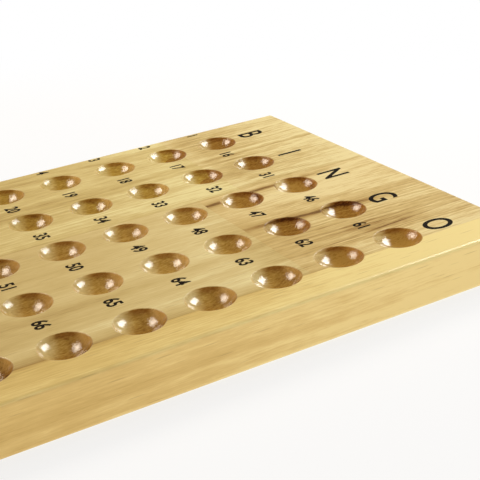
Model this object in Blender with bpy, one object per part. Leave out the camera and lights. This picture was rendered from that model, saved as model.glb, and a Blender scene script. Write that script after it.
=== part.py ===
"""Bingo master board: a finger-jointed, edge-glued wooden panel with a cup for every ball.

Metres, +Z up. The origin is the middle of the underside. +X points to the end that carries the
column letters, and +Y from the O row to the B row.
"""
import math

import bmesh
import bpy
from mathutils import Vector

MM = 0.001

# Ball cups: five rows along X, one for each letter, each a spherical hollow for a 22 mm ball
CUP_ROWS = 5
CUPS_PER_ROW = 15
ROW_PITCH = 33.0 * MM
CUP_PITCH = 25.0 * MM
BALL_RADIUS = 11.0 * MM
CUP_RIM_RADIUS = 8.6 * MM
CUP_SEGMENTS = 20
CUP_RINGS = 3
CUP_ARC_PAST_RIM = 1.1

# Panel: planed to thickness, then rounded along every edge
THICKNESS = 18.0 * MM
HEADER_MARGIN = 41.0 * MM
FOOT_MARGIN = 20.0 * MM
SIDE_MARGIN = 20.0 * MM
EDGE_RADIUS = 1.5 * MM
EDGE_SEGMENTS = 2

# Glue lines between the staves, measured inward from the B side and from the O side
FAR_STAVE_WIDTH = 76.3 * MM
NEAR_STAVE_WIDTH = 15.0 * MM
GLUE_GAP = 0.3 * MM

# End joints of each stave, measured along the face from the letter end
FAR_JOINTS = (61.0 * MM, 250.5 * MM)
CENTRE_JOINTS = (80.5 * MM, 300.5 * MM)
NEAR_JOINTS = (200.5 * MM,)

# Finger joint: flat-tipped fingers stacked in the thickness, between two lips at the faces
FINGERS = 3
FINGER_PITCH = 4.5 * MM
FINGER_LENGTH = 6.0 * MM
FINGER_TIP = 0.7 * MM

# How far a rough block stands proud before the panel is planed and rounded
TRIM_ALLOWANCE = 3.0 * MM

# Lacquered wood: each block has its own tone of pale yellow-tan
LACQUER_ROUGHNESS = 0.35
STAVE_COLOURS = {
    "far_stave": (0.60, 0.43, 0.17),
    "centre_stave": (0.64, 0.46, 0.18),
    "near_stave": (0.68, 0.50, 0.20),
}
BLOCK_TONE_STEP = 0.06

LENGTH = HEADER_MARGIN + (CUPS_PER_ROW - 1) * CUP_PITCH + FOOT_MARGIN
WIDTH = (CUP_ROWS - 1) * ROW_PITCH + 2.0 * SIDE_MARGIN
LETTER_END_X = LENGTH / 2.0
FAR_EDGE_Y = WIDTH / 2.0
FIRST_CUP_X = LETTER_END_X - HEADER_MARGIN
FIRST_ROW_Y = -(CUP_ROWS - 1) * ROW_PITCH / 2.0
CUP_CENTRE_HEIGHT = THICKNESS + math.sqrt(BALL_RADIUS ** 2 - CUP_RIM_RADIUS ** 2)
FINGER_FLANK = FINGER_PITCH / 2.0 - FINGER_TIP
LIP_THICKNESS = (THICKNESS - FINGERS * FINGER_PITCH + FINGER_TIP) / 2.0


def clear_scene():
    for old in list(bpy.data.objects):
        bpy.data.objects.remove(old, do_unlink=True)


def add_object(name, bm):
    """Turn a bmesh into a named object of the scene."""
    mesh = bpy.data.meshes.new(name)
    bm.to_mesh(mesh)
    bm.free()
    obj = bpy.data.objects.new(name, mesh)
    bpy.context.scene.collection.objects.link(obj)
    return obj


def as_guide(obj):
    """Mark an object as a shape that only cuts others."""
    obj.hide_render = True
    obj.display_type = "WIRE"
    return obj


def make_blank():
    """The glued panel, planed to size with every edge rounded."""
    bm = bmesh.new()
    bmesh.ops.create_cube(bm, size=1.0)
    bmesh.ops.scale(bm, vec=(LENGTH, WIDTH, THICKNESS), verts=bm.verts)
    bmesh.ops.translate(bm, vec=(0.0, 0.0, THICKNESS / 2.0), verts=bm.verts)
    blank = add_object("panel_blank", bm)
    rounding = blank.modifiers.new("rounded_edges", "BEVEL")
    rounding.width = EDGE_RADIUS
    rounding.segments = EDGE_SEGMENTS
    rounding.limit_method = "NONE"
    return as_guide(blank)


def add_array(obj, name, count, step):
    """Repeat an object along a step vector."""
    array = obj.modifiers.new(name, "ARRAY")
    array.use_relative_offset = False
    array.use_constant_offset = True
    array.constant_offset_displace = step
    array.count = count


def make_cup_cutters():
    """One turned spherical cutter, repeated along its row and then row by row."""
    arc_angle = CUP_ARC_PAST_RIM * math.asin(CUP_RIM_RADIUS / BALL_RADIUS)
    bm = bmesh.new()
    profile = []
    for ring in range(CUP_RINGS + 1):
        angle = arc_angle * ring / CUP_RINGS
        profile.append(bm.verts.new((BALL_RADIUS * math.sin(angle), 0.0, -BALL_RADIUS * math.cos(angle))))
    profile.append(bm.verts.new((0.0, 0.0, profile[-1].co.z)))
    edges = [bm.edges.new(pair) for pair in zip(profile, profile[1:])]
    bmesh.ops.spin(bm, geom=profile + edges, cent=(0.0, 0.0, 0.0), axis=(0.0, 0.0, 1.0),
                   angle=2.0 * math.pi, steps=CUP_SEGMENTS, use_merge=True)
    bmesh.ops.remove_doubles(bm, verts=bm.verts, dist=0.001 * MM)
    bmesh.ops.recalc_face_normals(bm, faces=bm.faces)
    for face in bm.faces:
        face.smooth = True
    cutters = add_object("cup_cutters", bm)
    cutters.location = (FIRST_CUP_X, FIRST_ROW_Y, CUP_CENTRE_HEIGHT)
    add_array(cutters, "along_row", CUPS_PER_ROW, (-CUP_PITCH, 0.0, 0.0))
    add_array(cutters, "row_by_row", CUP_ROWS, (0.0, ROW_PITCH, 0.0))
    return as_guide(cutters)


def end_line(x):
    """A plain end, as points in the XZ plane from below the underside to above the face."""
    return [Vector((x, -TRIM_ALLOWANCE)), Vector((x, THICKNESS + TRIM_ALLOWANCE))]


def finger_line(face_x):
    """A finger joint in the XZ plane, from bottom to top. Its fingers reach toward -X."""
    tip_x = face_x - FINGER_LENGTH
    bottom, top = end_line(face_x)
    points = [bottom]
    for finger in range(FINGERS):
        root = LIP_THICKNESS + finger * FINGER_PITCH
        points.append(Vector((face_x, root)))
        points.append(Vector((tip_x, root + FINGER_FLANK)))
        points.append(Vector((tip_x, root + FINGER_FLANK + FINGER_TIP)))
        points.append(Vector((face_x, root + 2.0 * FINGER_FLANK + FINGER_TIP)))
    return points + [top]


def offset_line(points, distance):
    """Move an upward line sideways by an even distance, toward +X if it is positive."""
    normals = []
    for start, end in zip(points, points[1:]):
        along = (end - start).normalized()
        normals.append(Vector((along.y, -along.x)))
    before = normals[:1] + normals
    after = normals + normals[-1:]
    moved = []
    for point, first, second in zip(points, before, after):
        moved.append(point + (first + second) * distance / (1.0 + first.dot(second)))
    return moved


def lacquered_wood(name, colour, tone):
    """Pale wood under a satin lacquer, made lighter or darker by a tone factor."""
    material = bpy.data.materials.new(name)
    material.use_nodes = True
    shader = material.node_tree.nodes["Principled BSDF"]
    shader.inputs["Base Color"].default_value = [channel * tone for channel in colour] + [1.0]
    shader.inputs["Roughness"].default_value = LACQUER_ROUGHNESS
    shader.inputs["Metallic"].default_value = 0.0
    return material


def add_boolean(obj, operation, other):
    cut = obj.modifiers.new(other.name, "BOOLEAN")
    cut.operation = operation
    cut.solver = "EXACT"
    cut.object = other


def make_block(name, foot_line, head_line, near_y, far_y, blank, cutters):
    """One block of wood: its joint profile drawn across the stave, then planed and cupped."""
    bm = bmesh.new()
    outline = [bm.verts.new((point.x, near_y, point.y)) for point in foot_line + head_line[::-1]]
    side = bm.faces.new(outline)
    drawn = bmesh.ops.extrude_face_region(bm, geom=[side])
    far_verts = [part for part in drawn["geom"] if isinstance(part, bmesh.types.BMVert)]
    bmesh.ops.translate(bm, vec=(0.0, far_y - near_y, 0.0), verts=far_verts)
    bmesh.ops.recalc_face_normals(bm, faces=bm.faces)
    block = add_object(name, bm)
    add_boolean(block, "INTERSECT", blank)
    add_boolean(block, "DIFFERENCE", cutters)
    return block


def make_stave(name, near_y, far_y, joints, blank, cutters, board):
    """A row of blocks joined end to end, from the letter end to the foot end."""
    joint_lines = [finger_line(LETTER_END_X - distance) for distance in joints]
    head_lines = [end_line(LETTER_END_X + TRIM_ALLOWANCE)]
    head_lines += [offset_line(line, -GLUE_GAP / 2.0) for line in joint_lines]
    foot_lines = [offset_line(line, GLUE_GAP / 2.0) for line in joint_lines]
    foot_lines += [end_line(-LETTER_END_X - TRIM_ALLOWANCE)]
    places = ["head"] + ["middle"] * (len(joints) - 1) + ["foot"]
    for index, place in enumerate(places):
        block_name = f"{name}_{place}"
        block = make_block(block_name, foot_lines[index], head_lines[index], near_y, far_y, blank, cutters)
        tone = 1.0 + BLOCK_TONE_STEP * index
        block.data.materials.append(lacquered_wood(f"{block_name}_wood", STAVE_COLOURS[name], tone))
        block.parent = board


def build_board():
    clear_scene()
    board = bpy.data.objects.new("board", None)
    bpy.context.scene.collection.objects.link(board)
    blank = make_blank()
    cutters = make_cup_cutters()
    outside = FAR_EDGE_Y + TRIM_ALLOWANCE
    far_line = FAR_EDGE_Y - FAR_STAVE_WIDTH
    near_line = NEAR_STAVE_WIDTH - FAR_EDGE_Y
    half_gap = GLUE_GAP / 2.0
    make_stave("far_stave", far_line + half_gap, outside, FAR_JOINTS, blank, cutters, board)
    make_stave("centre_stave", near_line + half_gap, far_line - half_gap, CENTRE_JOINTS, blank, cutters, board)
    make_stave("near_stave", -outside, near_line - half_gap, NEAR_JOINTS, blank, cutters, board)


build_board()
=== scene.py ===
import math
from types import SimpleNamespace
from typing import NamedTuple

import bmesh
import bpy
from mathutils import Matrix, Vector


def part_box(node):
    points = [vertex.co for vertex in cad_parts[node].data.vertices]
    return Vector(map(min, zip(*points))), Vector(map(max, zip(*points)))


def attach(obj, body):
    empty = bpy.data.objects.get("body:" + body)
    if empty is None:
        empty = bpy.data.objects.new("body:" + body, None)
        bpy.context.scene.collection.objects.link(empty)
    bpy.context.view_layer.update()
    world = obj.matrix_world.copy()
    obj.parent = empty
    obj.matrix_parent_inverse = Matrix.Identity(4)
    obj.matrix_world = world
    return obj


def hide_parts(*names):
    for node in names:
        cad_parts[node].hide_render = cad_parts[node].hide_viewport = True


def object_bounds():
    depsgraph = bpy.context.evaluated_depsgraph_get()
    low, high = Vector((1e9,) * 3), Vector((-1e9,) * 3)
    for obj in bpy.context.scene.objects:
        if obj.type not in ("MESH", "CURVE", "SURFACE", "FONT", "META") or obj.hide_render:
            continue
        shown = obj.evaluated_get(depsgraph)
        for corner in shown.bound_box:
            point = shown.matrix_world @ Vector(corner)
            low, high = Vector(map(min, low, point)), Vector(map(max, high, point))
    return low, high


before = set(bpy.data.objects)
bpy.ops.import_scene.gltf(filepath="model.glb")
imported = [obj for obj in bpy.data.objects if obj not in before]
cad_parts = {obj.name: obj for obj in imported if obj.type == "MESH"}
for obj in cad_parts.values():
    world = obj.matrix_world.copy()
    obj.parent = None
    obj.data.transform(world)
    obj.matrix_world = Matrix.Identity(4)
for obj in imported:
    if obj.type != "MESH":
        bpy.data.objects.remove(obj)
cad_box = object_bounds()

MM = 0.001
ROOT = "root"

# Panel, whose box and glue lines are read from the CAD parts in model.glb
BOARD_LOW = Vector(cad_box[0])
BOARD_HIGH = Vector(cad_box[1])
THICKNESS = BOARD_HIGH.z - BOARD_LOW.z
EDGE_RADIUS = 1.5 * MM
EDGE_SEGMENTS = 6
ROUND_PROFILE = 0.5
CAD_GLUE_GAP = 0.3 * MM
FAR_LINE_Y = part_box("far_stave_head")[0][1] - CAD_GLUE_GAP / 2.0
NEAR_LINE_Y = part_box("near_stave_head")[1][1] + CAD_GLUE_GAP / 2.0
SEAM_GAP = 0.02 * MM
TRIM_ALLOWANCE = 3.0 * MM
MERGE_DISTANCE = 0.001 * MM

# The lacquered face lies a hair below the board's full height, which leaves room for the print
PRINT_ROOM = 0.03 * MM
FACE_Z = BOARD_HIGH.z - PRINT_ROOM

# Ball cups
ROW_LETTERS = "BINGO"
CUPS_PER_ROW = 15
ROW_PITCH = 33.0 * MM
CUP_PITCH = 25.0 * MM
HEADER_MARGIN = 41.0 * MM
SIDE_MARGIN = 20.0 * MM
BALL_RADIUS = 11.0 * MM
CUP_RIM_RADIUS = 8.6 * MM
RIM_ROUNDING = 0.7 * MM
CUP_SEGMENTS = 72
CUP_RINGS = 12
RIM_RINGS = 5
RIM_END_ANGLE = math.radians(12.0)
CUTTER_CLEARANCE = 0.8 * MM
FIRST_CUP_X = BOARD_HIGH.x - HEADER_MARGIN
FIRST_ROW_Y = BOARD_HIGH.y - SIDE_MARGIN
CUP_CENTRE_LIFT = math.sqrt(BALL_RADIUS ** 2 - CUP_RIM_RADIUS ** 2)
CUP_DEPTH = BALL_RADIUS - CUP_CENTRE_LIFT
LIP_RADIUS = math.sqrt((BALL_RADIUS + RIM_ROUNDING) ** 2 - (CUP_CENTRE_LIFT + RIM_ROUNDING) ** 2)

# Finger joints between the blocks of a stave
FINGERS = 3
FINGER_PITCH = 4.5 * MM
FINGER_LENGTH = 6.0 * MM
FINGER_TIP = 0.7 * MM
FINGER_FLANK = FINGER_PITCH / 2.0 - FINGER_TIP
LIP_THICKNESS = (THICKNESS - FINGERS * FINGER_PITCH + FINGER_TIP) / 2.0

# Marks on the finished blocks
CUP_DEPTH_NAME = "cup_depth"
DEEPEST_CUP_POINT = 1.02
FLAT_NORMAL = 0.9999
SHARP_ANGLE = math.radians(35.0)

# Camera, fitted to the cups in the photograph, with its angles in degrees and its lens and sensor in mm
CAMERA_TARGET = Vector((119.7, -32.8, 18.0)) * MM
CAMERA_AZIMUTH = -118.18
CAMERA_ELEVATION = 24.11
CAMERA_ROLL = -4.40
CAMERA_DISTANCE = 380.5 * MM
CAMERA_LENS = 79.88
SENSOR_WIDTH = 36.0
CLIP_START = 10.0 * MM

# Noise: its octaves of detail, the weight of each octave against the one before, and its usual range
SMOOTH = 1.0
PLAIN = 2.0
FINE = 3.0
EVEN = 0.5
ROUGH = 0.6
NOISE_RANGE = (0.3, 0.7)


class Graph:
    """Short calls for adding and linking shader nodes."""

    def __init__(self, tree):
        tree.nodes.clear()
        self.tree = tree

    def put(self, socket, value):
        if isinstance(value, bpy.types.NodeSocket):
            self.tree.links.new(value, socket)
        else:
            socket.default_value = value

    def node(self, kind, inputs=None, **settings):
        made = self.tree.nodes.new(kind)
        for name, setting in settings.items():
            setattr(made, name, setting)
        for key, value in (inputs or {}).items():
            self.put(made.inputs[key], value)
        return made

    def math(self, operation, first, second=0.0):
        return self.node("ShaderNodeMath", {0: first, 1: second}, operation=operation).outputs[0]

    def add(self, *values):
        total = values[0]
        for value in values[1:]:
            total = self.math("ADD", total, value)
        return total

    def times(self, first, second):
        return self.math("MULTIPLY", first, second)

    def swing(self, value, amount):
        """Turn a 0 to 1 value into a swing about zero."""
        return self.times(self.math("SUBTRACT", value, 0.5), amount)

    def vector(self, operation, first, second):
        return self.node("ShaderNodeVectorMath", {0: first, 1: second}, operation=operation).outputs[0]

    def dot(self, first, second):
        made = self.node("ShaderNodeVectorMath", {0: first, 1: second}, operation="DOT_PRODUCT")
        return made.outputs["Value"]

    def noise(self, vector, detail=PLAIN, roughness=EVEN):
        inputs = {"Vector": vector, "Scale": 1.0, "Detail": detail, "Roughness": roughness}
        return self.node("ShaderNodeTexNoise", inputs).outputs[0]

    def noise_along(self, distance, detail=PLAIN, roughness=EVEN):
        inputs = {"W": distance, "Scale": 1.0, "Detail": detail, "Roughness": roughness}
        return self.node("ShaderNodeTexNoise", inputs, noise_dimensions="1D").outputs[0]

    def remap(self, value, low, high, to_low=0.0, to_high=1.0):
        inputs = {0: value, 1: low, 2: high, 3: to_low, 4: to_high}
        return self.node("ShaderNodeMapRange", inputs, interpolation_type="SMOOTHSTEP").outputs[0]

    def mix(self, factor, first, second, blend="MIX"):
        inputs = {0: factor, 6: first, 7: second}
        return self.node("ShaderNodeMix", inputs, data_type="RGBA", blend_type=blend).outputs[2]

    def ramp(self, factor, *stops):
        made = self.node("ShaderNodeValToRGB", {0: factor})
        elements = made.color_ramp.elements
        for index, (position, colour) in enumerate(stops):
            element = elements[index] if index < len(elements) else elements.new(position)
            element.position = position
            element.color = colour
        return made.outputs[0]

    def split(self, vector):
        return self.node("ShaderNodeSeparateXYZ", {0: vector}).outputs[:]

    def band(self, offset, width):
        """1 on the middle of a band, falling to 0 on both sides."""
        ratio = self.math("DIVIDE", offset, width)
        return self.math("EXPONENT", self.times(self.times(ratio, ratio), -1.0))

    def finish(self, shader):
        output = self.node("ShaderNodeOutputMaterial")
        self.tree.links.new(shader, output.inputs["Surface"])


def rgb(red, green, blue):
    return (red, green, blue, 1.0)


def add_object(name, mesh):
    obj = bpy.data.objects.new(name, mesh)
    bpy.context.scene.collection.objects.link(obj)
    return obj


def mesh_from(name, bm):
    mesh = bpy.data.meshes.new(name)
    bm.to_mesh(mesh)
    bm.free()
    return mesh


def evaluated_mesh(obj):
    """A plain mesh of an object with its modifiers applied."""
    depsgraph = bpy.context.evaluated_depsgraph_get()
    return bpy.data.meshes.new_from_object(obj.evaluated_get(depsgraph))


# Shapes of the blocks

def cup_profile():
    """Radius and height above the face, from the cup's bottom over its rounded rim to clear of the face."""
    lip_angle = math.asin(LIP_RADIUS / (BALL_RADIUS + RIM_ROUNDING))
    points = []
    for ring in range(CUP_RINGS + 1):
        angle = lip_angle * ring / CUP_RINGS
        points.append((BALL_RADIUS * math.sin(angle), CUP_CENTRE_LIFT - BALL_RADIUS * math.cos(angle)))
    for ring in range(1, RIM_RINGS + 1):
        angle = lip_angle + (RIM_END_ANGLE - lip_angle) * ring / RIM_RINGS
        radius = LIP_RADIUS - RIM_ROUNDING * math.sin(angle)
        points.append((radius, RIM_ROUNDING * (math.cos(angle) - 1.0)))
    radius, height = points[-1]
    points.append((radius + CUTTER_CLEARANCE * math.cos(RIM_END_ANGLE),
                   height + CUTTER_CLEARANCE * math.sin(RIM_END_ANGLE)))
    points.append((0.0, points[-1][1]))
    return points


def add_array(obj, name, count, step):
    """Repeat an object along a step vector."""
    array = obj.modifiers.new(name, "ARRAY")
    array.use_relative_offset = False
    array.use_constant_offset = True
    array.constant_offset_displace = step
    array.count = count


def make_cup_cutters():
    """One turned cutter, repeated along its row and then row by row."""
    bm = bmesh.new()
    profile = [bm.verts.new((radius, 0.0, height)) for radius, height in cup_profile()]
    edges = [bm.edges.new(pair) for pair in zip(profile, profile[1:])]
    bmesh.ops.spin(bm, geom=profile + edges, cent=(0.0, 0.0, 0.0), axis=(0.0, 0.0, 1.0),
                   angle=2.0 * math.pi, steps=CUP_SEGMENTS, use_merge=True)
    bmesh.ops.remove_doubles(bm, verts=bm.verts, dist=MERGE_DISTANCE)
    bmesh.ops.recalc_face_normals(bm, faces=bm.faces)
    cutters = add_object("cup_cutters", mesh_from("cup_cutters", bm))
    cutters.location = (FIRST_CUP_X, FIRST_ROW_Y, FACE_Z)
    add_array(cutters, "along_row", CUPS_PER_ROW, (-CUP_PITCH, 0.0, 0.0))
    add_array(cutters, "row_by_row", len(ROW_LETTERS), (0.0, -ROW_PITCH, 0.0))
    return cutters


def make_blank():
    """The panel planed to size, with rounded edges."""
    bm = bmesh.new()
    bmesh.ops.create_cube(bm, size=1.0)
    top = Vector((BOARD_HIGH.x, BOARD_HIGH.y, FACE_Z))
    bmesh.ops.scale(bm, vec=top - BOARD_LOW, verts=bm.verts)
    bmesh.ops.translate(bm, vec=(top + BOARD_LOW) / 2.0, verts=bm.verts)
    bmesh.ops.bevel(bm, geom=bm.edges[:] + bm.verts[:], offset=EDGE_RADIUS, segments=EDGE_SEGMENTS,
                    profile=ROUND_PROFILE, affect="EDGES")
    return add_object("panel_blank", mesh_from("panel_blank", bm))


def end_line(x):
    """A plain end, as points in the XZ plane from bottom to top."""
    return [Vector((x, BOARD_LOW.z - TRIM_ALLOWANCE)), Vector((x, BOARD_HIGH.z + TRIM_ALLOWANCE))]


def finger_line(face_x):
    """A finger joint in the XZ plane, from bottom to top. Its fingers reach toward -X."""
    tip_x = face_x - FINGER_LENGTH
    bottom, top = end_line(face_x)
    points = [bottom]
    for finger in range(FINGERS):
        root = BOARD_LOW.z + LIP_THICKNESS + finger * FINGER_PITCH
        points.append(Vector((face_x, root)))
        points.append(Vector((tip_x, root + FINGER_FLANK)))
        points.append(Vector((tip_x, root + FINGER_FLANK + FINGER_TIP)))
        points.append(Vector((face_x, root + 2.0 * FINGER_FLANK + FINGER_TIP)))
    return points + [top]


def offset_line(points, distance):
    """Move an upward line sideways by an even distance, toward +X if it is positive."""
    normals = []
    for start, end in zip(points, points[1:]):
        along = (end - start).normalized()
        normals.append(Vector((along.y, -along.x)))
    before = normals[:1] + normals
    after = normals + normals[-1:]
    moved = []
    for point, first, second in zip(points, before, after):
        moved.append(point + (first + second) * distance / (1.0 + first.dot(second)))
    return moved


def rough_block(name, foot_line, head_line, near_y, far_y):
    """The joint profile of one block, drawn across its stave."""
    bm = bmesh.new()
    outline = [bm.verts.new((point.x, near_y, point.y)) for point in foot_line + head_line[::-1]]
    side = bm.faces.new(outline)
    drawn = bmesh.ops.extrude_face_region(bm, geom=[side])
    far_verts = [part for part in drawn["geom"] if isinstance(part, bmesh.types.BMVert)]
    bmesh.ops.translate(bm, vec=(0.0, far_y - near_y, 0.0), verts=far_verts)
    bmesh.ops.recalc_face_normals(bm, faces=bm.faces)
    return add_object(name, mesh_from(name, bm))


def add_boolean(obj, operation, other):
    cut = obj.modifiers.new(other.name, "BOOLEAN")
    cut.operation = operation
    cut.solver = "MANIFOLD"
    cut.object = other


def cup_depth(point):
    """How deep a point lies in a cup, from 0 at the face to 1 at the bottom, and 0 anywhere else."""
    column = min(max(round((FIRST_CUP_X - point.x) / CUP_PITCH), 0), CUPS_PER_ROW - 1)
    row = min(max(round((FIRST_ROW_Y - point.y) / ROW_PITCH), 0), len(ROW_LETTERS) - 1)
    off_x = point.x - FIRST_CUP_X + column * CUP_PITCH
    off_y = point.y - FIRST_ROW_Y + row * ROW_PITCH
    depth = (FACE_Z - point.z) / CUP_DEPTH
    if math.hypot(off_x, off_y) > LIP_RADIUS or depth > DEEPEST_CUP_POINT:
        return 0.0
    return max(depth, 0.0)


def mark_cups(mesh):
    """Shade rounded faces smooth up to sharp edges, and store the cup depth that the wood reads."""
    bm = bmesh.new()
    bm.from_mesh(mesh)
    depth = bm.verts.layers.float.new(CUP_DEPTH_NAME)
    for vertex in bm.verts:
        vertex[depth] = cup_depth(vertex.co)
    for face in bm.faces:
        face.smooth = max(abs(part) for part in face.normal) < FLAT_NORMAL
    for edge in bm.edges:
        edge.smooth = edge.calc_face_angle(0.0) < SHARP_ANGLE
    bm.to_mesh(mesh)
    bm.free()


def make_block(name, foot_line, head_line, near_y, far_y, blank, cutters):
    rough = rough_block("rough_" + name, foot_line, head_line, near_y, far_y)
    add_boolean(rough, "INTERSECT", blank)
    add_boolean(rough, "DIFFERENCE", cutters)
    mesh = evaluated_mesh(rough)
    bpy.data.objects.remove(rough, do_unlink=True)
    mark_cups(mesh)
    return add_object("wood_" + name, mesh)


def make_blocks():
    """Every block of the three staves, shaped as its CAD node but joined tight. Node name to object."""
    blank = make_blank()
    cutters = make_cup_cutters()
    half_cad_gap = CAD_GLUE_GAP / 2.0
    half_seam = SEAM_GAP / 2.0
    outside = BOARD_HIGH.y + TRIM_ALLOWANCE
    staves = {
        "far_stave": (("head", "middle", "foot"), FAR_LINE_Y + half_seam, outside),
        "centre_stave": (("head", "middle", "foot"), NEAR_LINE_Y + half_seam, FAR_LINE_Y - half_seam),
        "near_stave": (("head", "foot"), -outside, NEAR_LINE_Y - half_seam),
    }
    blocks = {}
    for stave, (places, near_y, far_y) in staves.items():
        nodes = [f"{stave}_{place}" for place in places]
        joints = [finger_line(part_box(node)[1][0] + half_cad_gap) for node in nodes[1:]]
        head_lines = [end_line(BOARD_HIGH.x + TRIM_ALLOWANCE)]
        head_lines += [offset_line(line, -half_seam) for line in joints]
        foot_lines = [offset_line(line, half_seam) for line in joints]
        foot_lines += [end_line(BOARD_LOW.x - TRIM_ALLOWANCE)]
        for node, foot_line, head_line in zip(nodes, foot_lines, head_lines):
            blocks[node] = make_block(node, foot_line, head_line, near_y, far_y, blank, cutters)
    for guide in (blank, cutters):
        bpy.data.objects.remove(guide, do_unlink=True)
    return blocks


# Wood, with lengths in mm and darkness from 0 for the palest wood to 1 for the darkest

STREAK_X = 150.0
FALL_LENGTH = 120.0


class Streak(NamedTuple):
    """A streak along the board."""
    y: float  # at STREAK_X
    drift: float  # of y per mm of x
    width: float  # half of it
    dark: float  # added darkness


class RingLine(NamedTuple):
    """A growth ring that shows as a line."""
    radius: float  # from the pith
    width: float  # half of it
    dark: float  # added darkness
    fades: bool  # whether its ends fade out


class Ease(NamedTuple):
    """How the wood of a block changes from a joint on."""
    start: float  # x near the joint
    end: float  # x from which the wood is its own
    dark: float  # darkness added at the joint
    grain: float  # strength of the grain at the joint
    streaks: float  # strength of the block's own streaks at the joint


NO_EASE = Ease(start=0.0, end=1.0, dark=0.0, grain=1.0, streaks=1.0)


class Timber(NamedTuple):
    """The wood of one block."""
    seed: int  # tells its grain from that of other blocks
    pith: tuple  # y and depth below the face, at STREAK_X
    tilt: tuple  # of the pith in y and z, per mm of x
    ring: float  # spacing of the growth rings
    warp: float  # swing of the growth rings
    tone: float  # darkness over that of pale wood, at STREAK_X
    fall: float  # change in darkness per mm toward the head
    contrast: float  # strength of the grain
    tint: tuple  # colour over the wood
    cup: tuple  # colour of the stain in the cups
    head_wall: float  # share of that stain on a cup's wall toward the head
    streaks: tuple = ()
    carried: tuple = ()  # streaks that run on from the block at its head
    cup_streaks: tuple = ()  # streaks that show only in the cups
    ring_lines: tuple = ()
    fall_length: float = FALL_LENGTH  # how far toward the foot the darkness changes
    ease: Ease = NO_EASE


FAR_HEAD_STREAKS = (
    Streak(78.0, 0.0, 2.2, 0.12),
    Streak(66.0, 0.0, 10.0, 0.10),
    Streak(51.5, 0.0, 2.2, -0.14),
    Streak(47.0, 0.01, 1.8, 0.08),
    Streak(42.5, -0.03, 2.0, 0.14),
    Streak(26.5, 0.02, 1.5, 0.08),
    Streak(15.5, 0.0, 4.0, -0.26),
)
CENTRE_HEAD_STREAKS = (
    Streak(-45.0, 0.0, 11.0, 0.22),
    Streak(-55.1, 0.04, 0.8, 0.52),
    Streak(-50.5, 0.02, 3.0, 0.20),
    Streak(-28.0, 0.0, 5.0, 0.14),
    Streak(-12.0, 0.0, 9.0, -0.10),
    Streak(-5.0, 0.22, 5.0, -0.20),
    Streak(-50.0, -0.25, 4.0, 0.20),
    Streak(-64.0, -0.15, 5.0, -0.36),
)

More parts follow.
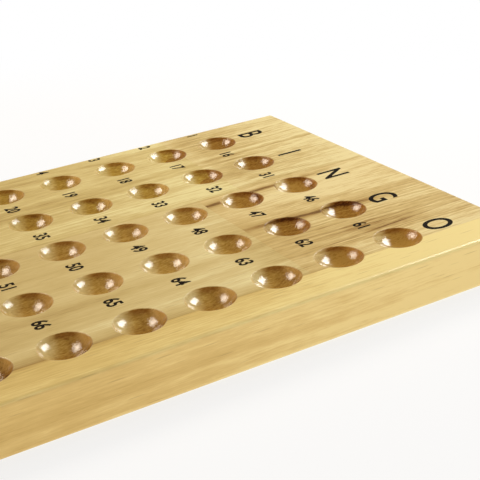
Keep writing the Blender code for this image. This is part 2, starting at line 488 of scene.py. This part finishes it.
TIMBER = {
    "far_stave_head": Timber(
        seed=3, pith=(30.0, 70.0), tilt=(0.004, 0.006), ring=3.4, warp=3.0,
        tone=0.24, fall=-0.009, contrast=0.95, tint=(1.0, 1.02, 1.08),
        cup=(0.50, 0.325, 0.125), head_wall=0.8,
        streaks=FAR_HEAD_STREAKS,
        ease=Ease(start=144.0, end=156.0, dark=-0.27, grain=0.6, streaks=0.6)),
    "far_stave_middle": Timber(
        seed=3, pith=(60.0, 60.0), tilt=(-0.01, -0.01), ring=4.5, warp=6.0,
        tone=-0.20, fall=-0.0045, fall_length=70.0, contrast=0.50, tint=(1.0, 1.045, 1.06),
        cup=(0.66, 0.51, 0.21), head_wall=0.2,
        streaks=(
            Streak(70.0, 0.0, 14.0, 0.06),
            Streak(40.0, 0.0, 3.0, 0.14),
            Streak(22.0, 0.0, 5.0, -0.14),
            Streak(76.0, 0.01, 1.5, 0.12),
            Streak(47.0, 0.01, 3.5, 0.16),
        ),
        carried=FAR_HEAD_STREAKS,
        ease=Ease(start=146.0, end=132.0, dark=0.22, grain=1.3, streaks=0.1)),
    "far_stave_foot": Timber(
        seed=17, pith=(44.0, 50.0), tilt=(0.01, 0.02), ring=4.0, warp=6.0,
        tone=0.10, fall=0.0, contrast=0.8, tint=(1.0, 0.99, 0.98),
        cup=(0.50, 0.36, 0.14), head_wall=0.4,
        streaks=(Streak(58.0, 0.01, 1.6, 0.2),)),
    "centre_stave_head": Timber(
        seed=5, pith=(-12.2, -55.0), tilt=(0.0, -0.0225), ring=2.6, warp=0.8,
        tone=-0.02, fall=-0.0008, contrast=0.82, tint=(1.0, 0.99, 1.03),
        cup=(0.56, 0.385, 0.15), head_wall=0.9,
        streaks=CENTRE_HEAD_STREAKS,
        cup_streaks=(Streak(-64.0, 0.0, 9.0, -0.20),),
        ring_lines=(RingLine(radius=57.3, width=0.45, dark=0.66, fades=True),),
        ease=Ease(start=124.0, end=150.0, dark=0.12, grain=0.6, streaks=0.6)),
    "centre_stave_middle": Timber(
        seed=5, pith=(-30.0, 80.0), tilt=(0.006, -0.012), ring=4.5, warp=6.0,
        tone=-0.24, fall=-0.0042, contrast=0.26, tint=(1.0, 1.035, 1.12),
        cup=(0.68, 0.51, 0.24), head_wall=0.2,
        streaks=(
            Streak(2.0, 0.0, 4.0, 0.15),
            Streak(-16.0, 0.01, 2.5, 0.1),
            Streak(-42.5, 0.03, 2.5, 0.12),
            Streak(-36.0, 0.0, 3.5, -0.16),
            Streak(-62.0, 0.0, 4.0, -0.25),
        ),
        carried=CENTRE_HEAD_STREAKS,
        cup_streaks=(Streak(-65.0, 0.0, 8.0, 0.24),),
        ease=Ease(start=126.0, end=106.0, dark=0.24, grain=1.9, streaks=0.2)),
    "centre_stave_foot": Timber(
        seed=29, pith=(-20.0, 46.0), tilt=(0.0, -0.02), ring=3.6, warp=5.0,
        tone=0.12, fall=0.0, contrast=0.8, tint=(1.0, 0.99, 0.98),
        cup=(0.50, 0.36, 0.14), head_wall=0.4,
        streaks=(Streak(-24.0, 0.02, 1.5, 0.2),)),
    "near_stave_head": Timber(
        seed=31, pith=(-150.0, 30.0), tilt=(0.0, 0.004), ring=5.0, warp=4.0,
        tone=-0.25, fall=-0.0028, contrast=0.30, tint=(1.08, 1.06, 0.94),
        cup=(0.52, 0.36, 0.165), head_wall=0.3,
        ring_lines=(RingLine(radius=66.8, width=0.7, dark=0.14, fades=False),)),
    "near_stave_foot": Timber(
        seed=37, pith=(-140.0, 50.0), tilt=(0.01, 0.0), ring=4.5, warp=4.0,
        tone=0.12, fall=0.0, contrast=0.6, tint=(1.03, 1.0, 0.98),
        cup=(0.48, 0.34, 0.14), head_wall=0.2),
}
SEED_STEP = (131.0, 57.0, 23.0)
CARRIED_SHARE = 0.6

# Glue lines, of which the near one is fainter toward the head
FAR_GLUE = (Streak(FAR_LINE_Y / MM, 0.0, 0.6, 0.18),)
NEAR_GLUE = (Streak(NEAR_LINE_Y / MM, 0.0, 0.9, 0.16), Streak(NEAR_LINE_Y / MM, 0.0, 4.0, 0.20))
NEAR_GLUE_FADE = (100.0, 128.0)
NEAR_GLUE_REST = 0.25

# Where a ring line fades, and what is left of it there
RING_LINE_SIDE = (-20.0, 0.0)
RING_LINE_START = (122.0, 144.0)
RING_LINE_END = (168.0, 190.0)
RING_LINE_START_REST = 0.3
RING_LINE_END_REST = 0.15

# Sizes of the grain's features along and across the grain
WARP_SIZE = (160.0, 38.0)
RIPPLE_SIZE = (45.0, 9.0)
LINE_SIZE = (42.0, 1.5)
FIBRE_SIZE = (14.0, 0.5)
FLECK_SIZE = (5.0, 0.7)
CLOUD_SIZE = (120.0, 22.0)
MOTTLE_SIZE = (14.0, 5.0)
SPECKLE_SIZE = (1.3, 0.5)
PORE_SIZE = (22.0, 1.1)
FADE_SIZE = (50.0, 30.0)
WANDER_SIZE = (70.0, 25.0)
FINE_RING = 0.9

# How far the rings ripple and the streaks wander, and the shares of a streak that show along it
RIPPLE = 1.2
WANDER = 5.0
FADE_RANGE = (0.35, 0.6)
FADE_SHARES = (0.45, 1.15)

# Swing in darkness of each feature on the face, and in the torn grain of a cup
RING_SWING = 0.55
FINE_RING_SWING = 0.7
LINE_SWING = 0.65
FIBRE_SWING = 1.5
FLECK_SWING = 0.9
CLOUD_SWING = 0.65
MOTTLE_SWING = 0.3
TORN_FIBRE_SWING = 0.45
TORN_RING_SWING = 0.45
SPECKLE_SWING = 1.3

# Colours from the palest wood to the darkest, and of its pores
PALEST_WOOD = rgb(0.88, 0.735, 0.355)
PALE_WOOD = rgb(0.74, 0.565, 0.235)
TAN_WOOD = rgb(0.64, 0.465, 0.17)
BROWN_WOOD = rgb(0.40, 0.235, 0.06)
DARKEST_WOOD = rgb(0.20, 0.10, 0.02)
PALE_TONE = 0.22
TAN_TONE = 0.45
BROWN_TONE = 0.85
PORE_BROWN = rgb(0.34, 0.20, 0.06)
PORE_RANGE = (0.07, 0.19)
PORE_SHARE = 0.35

# Stain in the cups, darker at the bottom, with painted light and painted shade over it: the wall toward the
# foot is painted paler as if lit by the softbox at the letter end, and a painted shade runs high on the far
# wall below the rim
CUP_EDGE = (0.0, 0.05)
# Painted light: a cup wall facing this way is painted paler, as if lit by the softbox at the letter end, and
# keeps only this share of the stain
PAINTED_LIGHT_WALL = (0.95, -0.30, 0.0)
PAINTED_LIGHT_RANGE = (0.05, 0.55)
PAINTED_LIGHT_SHARE = 0.15
HEAD_WALL_RANGE = (-0.72, -0.45)
# Painted shade: a dark crescent high on the far wall of each cup, just below the rim, where shade falls
RIM_SHADE_WALL = (-0.42, -0.91, 0.0)
RIM_SHADE_RANGE = (0.58, 0.72)
PAINTED_RIM_SHADE = rgb(0.66, 0.51, 0.42)
CUP_BOTTOM_RANGE = (0.55, 1.0)
CUP_BOTTOM_SHARE = 0.5
CUP_BOTTOM_STAIN = rgb(0.76, 0.72, 0.66)

# In stained wood, the share of the grain's strength that is left and the spread of the ring lines
CUP_CONTRAST = 0.5
CUP_LINE_SPREAD = 2.5

# Stain where the wood faces an end, starting later toward the letter end, and painted shade on the near side
END_GRAIN_RANGE = (0.35, 0.75)
HEAD_END_SHARE = 0.75
END_GRAIN_STAIN = rgb(1.0, 0.78, 0.52)
# Painted shade: the face toward the near side is painted warmer and darker for the light that falls there
NEAR_SHADE_RANGE = (-0.85, -0.95)
NEAR_SIDE_SHADE = rgb(0.99, 0.93, 0.88)

# Relief, and the lacquer's gloss on the face and then in the cups
FIBRE_RELIEF = 0.007
PORE_RELIEF = -0.010
SPECKLE_RELIEF = 0.08
WOOD_ROUGHNESS = (0.40, 0.52)
LACQUER_IOR = 1.5
SHINE_RANGE = (0.0, 0.15)
SHINE = (0.2, 0.0)
COAT_RANGE = (0.05, 0.30)
COAT_WEIGHT = (0.25, 1.0)
COAT_ROUGHNESS = 0.14


def new_material(name):
    material = bpy.data.materials.new(name)
    material.use_nodes = True
    return material, Graph(material.node_tree)


def place_in_mm(g):
    metres = g.node("ShaderNodeTexCoord").outputs["Object"]
    return g.vector("MULTIPLY", metres, (1.0 / MM,) * 3)


def stretched(g, place, size):
    """Coordinates with one unit to a feature's size along and across the grain."""
    along, across = size
    return g.vector("DIVIDE", place, (along, across, across))


def ring_radius(g, place, timber):
    """Distance from the pith."""
    pith_y, pith_depth = timber.pith
    tilt_y, tilt_z = timber.tilt
    x, y, z = g.split(place)
    along = g.math("SUBTRACT", x, STREAK_X)
    across = g.add(y, g.times(along, -tilt_y), -pith_y)
    height = g.add(z, g.times(along, -tilt_z), pith_depth - FACE_Z / MM)
    return g.math("SQRT", g.add(g.times(across, across), g.times(height, height)))


def make_grain(g, place, timber):
    """The features of a block's grain."""
    own = g.vector("ADD", place, tuple(timber.seed * step for step in SEED_STEP))
    warp = g.swing(g.noise(stretched(g, own, WARP_SIZE), SMOOTH), timber.warp)
    ripple = g.swing(g.noise(stretched(g, own, RIPPLE_SIZE)), RIPPLE)
    radius = g.add(ring_radius(g, place, timber), warp, ripple)
    cells = g.node("ShaderNodeTexVoronoi", {"Vector": stretched(g, own, PORE_SIZE), "Scale": 1.0})
    return SimpleNamespace(
        radius=radius,
        rings=g.noise_along(g.math("DIVIDE", radius, timber.ring), PLAIN, ROUGH),
        fine_rings=g.noise_along(g.math("DIVIDE", radius, FINE_RING), SMOOTH),
        lines=g.noise(stretched(g, own, LINE_SIZE), PLAIN, ROUGH),
        fibre=g.noise(stretched(g, own, FIBRE_SIZE), FINE, ROUGH),
        flecks=g.noise(stretched(g, own, FLECK_SIZE), PLAIN, ROUGH),
        cloud=g.noise(stretched(g, own, CLOUD_SIZE)),
        mottle=g.noise(stretched(g, own, MOTTLE_SIZE)),
        speckle=g.noise(stretched(g, own, SPECKLE_SIZE)),
        pores=g.remap(cells.outputs["Distance"], *PORE_RANGE, 1.0, 0.0),
        fade=g.remap(g.noise(stretched(g, own, FADE_SIZE), SMOOTH), *FADE_RANGE, *FADE_SHARES),
        wander=g.swing(g.noise(stretched(g, own, WANDER_SIZE)), WANDER),
    )


def make_sides(g, timber):
    """The depth in a cup, and the shares of the stains, of painted light and of painted shade by where a
    surface faces.
    """
    cup = g.node("ShaderNodeAttribute", attribute_name=CUP_DEPTH_NAME).outputs["Fac"]
    normal = g.node("ShaderNodeNewGeometry").outputs["Normal"]
    normal_x, normal_y, _ = g.split(normal)
    # Painted light: the stain thins on cup walls that face the softbox at the letter end, as if lit
    painted_light_wall = g.remap(g.dot(normal, PAINTED_LIGHT_WALL), *PAINTED_LIGHT_RANGE, 1.0, PAINTED_LIGHT_SHARE)
    head_wall = g.remap(normal_x, *HEAD_WALL_RANGE, timber.head_wall, 1.0)
    stain = g.times(g.remap(cup, *CUP_EDGE), g.times(painted_light_wall, head_wall))
    end = g.math("MAXIMUM", g.times(normal_x, -1.0), g.times(normal_x, HEAD_END_SHARE))
    return SimpleNamespace(
        cup=cup,
        painted_light_wall=painted_light_wall,
        stain=stain,
        # Painted shade high on the far wall of the cups, just below the rim
        painted_rim_shade=g.times(g.remap(g.dot(normal, RIM_SHADE_WALL), *RIM_SHADE_RANGE), stain),
        bottom=g.times(g.remap(cup, *CUP_BOTTOM_RANGE), CUP_BOTTOM_SHARE),
        end=g.remap(end, *END_GRAIN_RANGE),
        # Painted shade on the face toward the near side
        near=g.remap(normal_y, *NEAR_SHADE_RANGE),
    )


def streak_tone(g, place, wander, streaks):
    """Darkness added by streaks along the board."""
    x, y, _ = g.split(place)
    along = g.math("SUBTRACT", x, STREAK_X)
    total = 0.0
    for streak in streaks:
        offset = g.add(y, g.times(along, -streak.drift), wander, -streak.y)
        total = g.add(g.times(g.band(offset, streak.width), streak.dark), total)
    return total


def glue_tone(g, place, x, sides):
    """Darkness added by the glue lines, which fade where they cross cup walls painted pale as if lit."""
    near = g.times(streak_tone(g, place, 0.0, NEAR_GLUE), g.remap(x, *NEAR_GLUE_FADE, 1.0, NEAR_GLUE_REST))
    glue = g.add(streak_tone(g, place, 0.0, FAR_GLUE), near)
    return g.times(glue, g.remap(sides.cup, *CUP_EDGE, 1.0, sides.painted_light_wall))


def ring_line_tone(g, x, y, line, grain, sides):
    """Darkness added by a growth ring that shows as a line, which spreads in the cups."""
    spread = g.remap(sides.stain, 0.0, 1.0, 1.0, CUP_LINE_SPREAD)
    offset = g.math("DIVIDE", g.math("SUBTRACT", grain.radius, line.radius), spread)
    dark = g.times(g.band(offset, line.width), line.dark)
    if line.fades:
        rest = g.remap(y, *RING_LINE_SIDE, RING_LINE_START_REST, 1.0)
        start = g.remap(x, *RING_LINE_START, rest, 1.0)
        end = g.remap(x, *RING_LINE_END, 1.0, RING_LINE_END_REST)
        dark = g.times(dark, g.times(g.times(start, end), grain.fade))
    return dark


def wood_tone(g, place, grain, sides, timber):
    """Darkness of a block's wood."""
    x, y, _ = g.split(place)
    ease = timber.ease
    planed = g.add(
        g.swing(grain.rings, RING_SWING), g.swing(grain.fine_rings, FINE_RING_SWING),
        g.swing(grain.lines, LINE_SWING), g.swing(grain.fibre, FIBRE_SWING),
        g.swing(grain.flecks, FLECK_SWING), g.swing(grain.cloud, CLOUD_SWING))
    contrast = g.remap(sides.stain, 0.0, 1.0, timber.contrast, timber.contrast * CUP_CONTRAST)
    planed = g.times(planed, g.times(contrast, g.remap(x, ease.start, ease.end, ease.grain, 1.0)))
    torn = g.add(
        g.swing(grain.fibre, TORN_FIBRE_SWING), g.swing(grain.fine_rings, TORN_RING_SWING),
        g.swing(grain.speckle, SPECKLE_SWING), streak_tone(g, place, 0.0, timber.cup_streaks))
    torn = g.times(torn, sides.stain)
    own = g.times(streak_tone(g, place, grain.wander, timber.streaks),
                  g.remap(x, ease.start, ease.end, ease.streaks, 1.0))
    carried = g.times(streak_tone(g, place, grain.wander, timber.carried),
                      g.remap(x, ease.start, ease.end, CARRIED_SHARE, 0.0))
    streaks = g.times(g.add(own, carried), grain.fade)
    along = g.math("MAXIMUM", g.math("SUBTRACT", x, STREAK_X), -timber.fall_length)
    eased = g.remap(x, ease.start, ease.end, ease.dark, 0.0)
    ground = g.add(g.times(along, timber.fall), eased, PALE_TONE + timber.tone)
    mottle = g.swing(grain.mottle, MOTTLE_SWING)
    tone = g.add(planed, torn, streaks, glue_tone(g, place, x, sides), ground, mottle)
    for line in timber.ring_lines:
        tone = g.add(tone, ring_line_tone(g, x, y, line, grain, sides))
    return tone


def wood_colour(g, tone, grain, sides, timber):
    """Colour of a block's wood, pores and stains, with the cup stain thinned by painted light and with
    painted shade in the cups and on the near side.
    """
    colour = g.ramp(tone, (0.0, PALEST_WOOD), (PALE_TONE, PALE_WOOD), (TAN_TONE, TAN_WOOD),
                    (BROWN_TONE, BROWN_WOOD), (1.0, DARKEST_WOOD))
    colour = g.mix(1.0, colour, rgb(*timber.tint), "MULTIPLY")
    colour = g.mix(g.times(grain.pores, PORE_SHARE), colour, PORE_BROWN)
    # The stain's share here is already thinned by painted light on the walls facing the letter end
    colour = g.mix(sides.stain, colour, rgb(*timber.cup), "MULTIPLY")
    colour = g.mix(sides.bottom, colour, CUP_BOTTOM_STAIN, "MULTIPLY")
    # Painted shade high on the far wall of the cups, just below the rim
    colour = g.mix(sides.painted_rim_shade, colour, PAINTED_RIM_SHADE, "MULTIPLY")
    colour = g.mix(sides.end, colour, END_GRAIN_STAIN, "MULTIPLY")
    # Painted shade on the face toward the near side
    return g.mix(sides.near, colour, NEAR_SIDE_SHADE, "MULTIPLY")


def wood_material(name, timber):
    """Lacquered wood."""
    material, g = new_material(name)
    place = place_in_mm(g)
    grain = make_grain(g, place, timber)
    sides = make_sides(g, timber)
    tone = wood_tone(g, place, grain, sides, timber)
    relief = g.add(
        g.times(grain.fibre, FIBRE_RELIEF), g.times(grain.pores, PORE_RELIEF),
        g.times(g.times(grain.speckle, sides.stain), SPECKLE_RELIEF))
    bump = g.node("ShaderNodeBump", {"Height": relief, "Strength": 1.0, "Distance": MM})
    shader = g.node("ShaderNodeBsdfPrincipled", {
        "Base Color": wood_colour(g, tone, grain, sides, timber),
        "Roughness": g.remap(grain.fibre, *NOISE_RANGE, *WOOD_ROUGHNESS),
        "IOR": LACQUER_IOR,
        "Specular IOR Level": g.remap(sides.cup, *SHINE_RANGE, *SHINE),
        "Normal": bump.outputs[0],
        "Coat Weight": g.remap(sides.cup, *COAT_RANGE, *COAT_WEIGHT),
        "Coat Roughness": COAT_ROUGHNESS,
        "Coat Normal": bump.outputs[0],
    })
    g.finish(shader.outputs[0])
    return material


def finish_blocks(blocks):
    for node, block in blocks.items():
        block.data.materials.clear()
        block.data.materials.append(wood_material(node + "_lacquered", TIMBER[node]))
        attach(block, ROOT)
        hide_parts(node)


# Print

LETTER_HEIGHT = 11.8 * MM
LETTER_WIDTH_FACTOR = 0.70
LETTER_MIDDLE = 18.4 * MM
LETTER_ASIDE = 0.7 * MM
LETTER_BOLDNESS = 0.34 * MM
NUMBER_HEIGHT = 5.4 * MM
NUMBER_WIDTH_FACTOR = 0.78
NUMBER_PITCH = 24.5 * MM
NUMBER_SHIFT = 0.4 * MM
NUMBER_ASIDE = ROW_PITCH / 2.0 + NUMBER_SHIFT
NUMBER_BOLDNESS = 0.33 * MM
ROW_MIDDLE_X = FIRST_CUP_X - CUP_PITCH * (CUPS_PER_ROW - 1) / 2.0
EDGE_CLEARANCE = 0.4 * MM
FLAT_EDGE_Y = BOARD_HIGH.y - EDGE_RADIUS - EDGE_CLEARANCE
CAP_HEIGHT = 0.729  # of the built-in font at size 1
PRINT_EXTRUDE = 0.03 * MM
TEXT_TURN = -math.pi / 2.0
INK_BLACK = rgb(0.006, 0.003, 0.001)
INK_WORN = rgb(0.030, 0.018, 0.008)
INK_GRAIN_SIZE = (12.0, 0.4)
INK_WEAR_RANGE = (0.45, 0.8)
INK_ROUGHNESS = (0.42, 0.55)
INK_SHINE = 0.06


def text_mesh(body, height, width_factor, boldness):
    """Characters a hair thick, centred on the origin and reading along +X."""
    text = add_object("text", bpy.data.curves.new("text", "FONT"))
    text.data.body = body
    scale = height / CAP_HEIGHT
    depsgraph = bpy.context.evaluated_depsgraph_get()
    outline = add_object("outline", text.to_curve(depsgraph).copy())
    outline.data.transform(Matrix.Diagonal((scale * width_factor, scale, 1.0, 1.0)))
    outline.data.fill_mode = "BOTH"
    outline.data.offset = boldness
    # The transform has scaled the outline's radius too, which leaves 0.58 of this on each side
    outline.data.extrude = PRINT_EXTRUDE
    mesh = evaluated_mesh(outline)
    for spare in (outline, text):
        bpy.data.objects.remove(spare, do_unlink=True)
    xs = [vertex.co.x for vertex in mesh.vertices]
    ys = [vertex.co.y for vertex in mesh.vertices]
    mesh.transform(Matrix.Translation((-(min(xs) + max(xs)) / 2.0, -(min(ys) + max(ys)) / 2.0, 0.0)))
    return mesh


def stamp(bm, mesh, x, y):
    """Print characters through the face with their tops toward +X, clear of the rounded edge."""
    half_width = max(vertex.co.x for vertex in mesh.vertices)
    y = min(y, FLAT_EDGE_Y - half_width)
    mesh.transform(Matrix.Translation((x, y, FACE_Z)) @ Matrix.Rotation(TEXT_TURN, 4, "Z"))
    bm.from_mesh(mesh)
    bpy.data.meshes.remove(mesh)


def ink_material():
    material, g = new_material("black_print")
    grain = g.noise(stretched(g, place_in_mm(g), INK_GRAIN_SIZE))
    shader = g.node("ShaderNodeBsdfPrincipled", {
        "Base Color": g.mix(g.remap(grain, *INK_WEAR_RANGE), INK_BLACK, INK_WORN),
        "Roughness": g.remap(grain, *NOISE_RANGE, *INK_ROUGHNESS),
        "Specular IOR Level": INK_SHINE,
    })
    g.finish(shader.outputs[0])
    return material


def make_print():
    """The column letters and the numbers, one printed piece for each row of cups."""
    ink = ink_material()
    for row, letter in enumerate(ROW_LETTERS):
        bm = bmesh.new()
        row_y = FIRST_ROW_Y - row * ROW_PITCH
        heading = text_mesh(letter, LETTER_HEIGHT, LETTER_WIDTH_FACTOR, LETTER_BOLDNESS)
        stamp(bm, heading, FIRST_CUP_X + LETTER_MIDDLE, row_y + LETTER_ASIDE)
        for index in range(CUPS_PER_ROW):
            number = str(row * CUPS_PER_ROW + index + 1)
            x = ROW_MIDDLE_X + NUMBER_PITCH * ((CUPS_PER_ROW - 1) / 2.0 - index)
            digits = text_mesh(number, NUMBER_HEIGHT, NUMBER_WIDTH_FACTOR, NUMBER_BOLDNESS)
            stamp(bm, digits, x, row_y + NUMBER_ASIDE)
        piece = add_object(f"print_column_{letter}", mesh_from(f"print_column_{letter}", bm))
        piece.data.materials.append(ink)
        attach(piece, ROOT)


# Studio

# Floor, which glows more with the distance from the board's middle
FLOOR_HALF = 6.0
FLOOR_DROP = 0.3 * MM
FLOOR_WHITE = rgb(0.9, 0.9, 0.9)
FLOOR_GLOW = 0.80
GLOW_STARTS = 0.24
GLOW_FULL = 0.40

# Room, with ranges in the upward part of a direction and, for the side, in its part toward the far side
BACKDROP_TOP = (0.10, 0.24)
ROOM_DIM = 0.08
ROOM_FRONT = 1.8
ROOM_FRONT_SIDE = (-0.8, -0.1)
ROOM_FRONT_TOP = (0.15, 0.55)
ROOM_WARM = rgb(1.0, 0.93, 0.86)
WHITE = rgb(1.0, 1.0, 1.0)


class Softbox(NamedTuple):
    """A light panel turned to the board."""
    azimuth: float  # from +X toward +Y, in degrees
    elevation: float  # above the floor, in degrees
    tilt: float  # of its height from the upright, in degrees
    distance: float  # in metres, like its width and height
    width: float
    height: float
    power: float  # in watts
    colour: tuple


SOFTBOXES = {
    "softbox_right": Softbox(azimuth=12.0, elevation=40.0, tilt=45.0, distance=0.75, width=0.17, height=0.46,
                             power=3.75, colour=(1.0, 1.0, 0.97)),
    "softbox_left": Softbox(azimuth=120.0, elevation=47.0, tilt=-51.0, distance=1.1, width=0.30, height=0.54,
                            power=7.2, colour=(1.0, 0.87, 0.72)),
}


def make_floor():
    """A lit white table: part of it glows, so the board's shadow stays faint and its near side bright."""
    bm = bmesh.new()
    bmesh.ops.create_grid(bm, x_segments=1, y_segments=1, size=FLOOR_HALF)
    bmesh.ops.translate(bm, vec=(0.0, 0.0, BOARD_LOW.z - FLOOR_DROP), verts=bm.verts)
    floor = add_object("studio_floor", mesh_from("studio_floor", bm))
    material, g = new_material("white_table")
    metres = g.node("ShaderNodeTexCoord").outputs["Object"]
    away = g.node("ShaderNodeVectorMath", {0: metres}, operation="LENGTH").outputs["Value"]
    diffuse = g.node("ShaderNodeBsdfDiffuse", {"Color": FLOOR_WHITE})
    glow = g.node("ShaderNodeEmission", {"Color": WHITE, "Strength": 1.0})
    share = g.remap(away, GLOW_STARTS, GLOW_FULL, FLOOR_GLOW, 1.0)
    shader = g.node("ShaderNodeMixShader", {0: share, 1: diffuse.outputs[0], 2: glow.outputs[0]})
    g.finish(shader.outputs[0])
    floor.data.materials.append(material)


def make_world():
    """A dim room with a low bright wall at the near side, and white for the camera and low reflections."""
    world = bpy.data.worlds.new("studio")
    bpy.context.scene.world = world
    world.use_nodes = True
    g = Graph(world.node_tree)
    _, toward_far, upward = g.split(g.node("ShaderNodeTexCoord").outputs["Generated"])
    in_front = g.remap(toward_far, *ROOM_FRONT_SIDE, 1.0, 0.0)
    low = g.remap(upward, *ROOM_FRONT_TOP, 1.0, 0.0)
    strength = g.add(g.times(g.times(in_front, low), ROOM_FRONT), ROOM_DIM)
    room = g.node("ShaderNodeBackground", {"Color": ROOM_WARM, "Strength": strength})
    white = g.node("ShaderNodeBackground", {"Color": WHITE, "Strength": 1.0})
    path = g.node("ShaderNodeLightPath")
    mirrored = g.math("MAXIMUM", path.outputs["Is Glossy Ray"], path.outputs["Is Transmission Ray"])
    backdrop = g.remap(upward, *BACKDROP_TOP, 1.0, 0.0)
    seen = g.math("MAXIMUM", path.outputs["Is Camera Ray"], g.times(mirrored, backdrop))
    shader = g.node("ShaderNodeMixShader", {0: seen, 1: room.outputs[0], 2: white.outputs[0]})
    output = g.node("ShaderNodeOutputWorld")
    g.put(output.inputs["Surface"], shader.outputs[0])


def direction(azimuth, elevation):
    """Unit vector at an azimuth from +X toward +Y and an elevation above the floor, in degrees."""
    around = math.radians(azimuth)
    up = math.radians(elevation)
    return Vector((math.cos(around) * math.cos(up), math.sin(around) * math.cos(up), math.sin(up)))


def make_lights():
    """Soft light from the letter end and from the far side."""
    for name, panel in SOFTBOXES.items():
        lamp = bpy.data.lights.new(name, "AREA")
        lamp.shape = "RECTANGLE"
        lamp.size = panel.width
        lamp.size_y = panel.height
        lamp.energy = panel.power
        lamp.color = panel.colour
        softbox = add_object(name, lamp)
        toward = direction(panel.azimuth, panel.elevation)
        level = toward.to_track_quat("Z", "Y").to_matrix()
        turned = level @ Matrix.Rotation(math.radians(panel.tilt), 3, "Z")
        place = Matrix.Translation(CAMERA_TARGET + toward * panel.distance)
        softbox.matrix_world = place @ turned.to_4x4()


def make_camera():
    data = bpy.data.cameras.new("photo_camera")
    data.lens = CAMERA_LENS
    data.sensor_width = SENSOR_WIDTH
    data.clip_start = CLIP_START
    camera = add_object("photo_camera", data)
    back = direction(CAMERA_AZIMUTH, CAMERA_ELEVATION)
    right = Vector((0.0, 0.0, 1.0)).cross(back).normalized()
    up = back.cross(right)
    level = Matrix((right, up, back)).transposed()
    turned = level @ Matrix.Rotation(math.radians(CAMERA_ROLL), 3, "Z")
    place = Matrix.Translation(CAMERA_TARGET + back * CAMERA_DISTANCE)
    camera.matrix_world = place @ turned.to_4x4()
    bpy.context.scene.camera = camera


bpy.context.scene.view_settings.view_transform = "Standard"
make_camera()
make_world()
make_lights()
make_floor()
finish_blocks(make_blocks())
make_print()
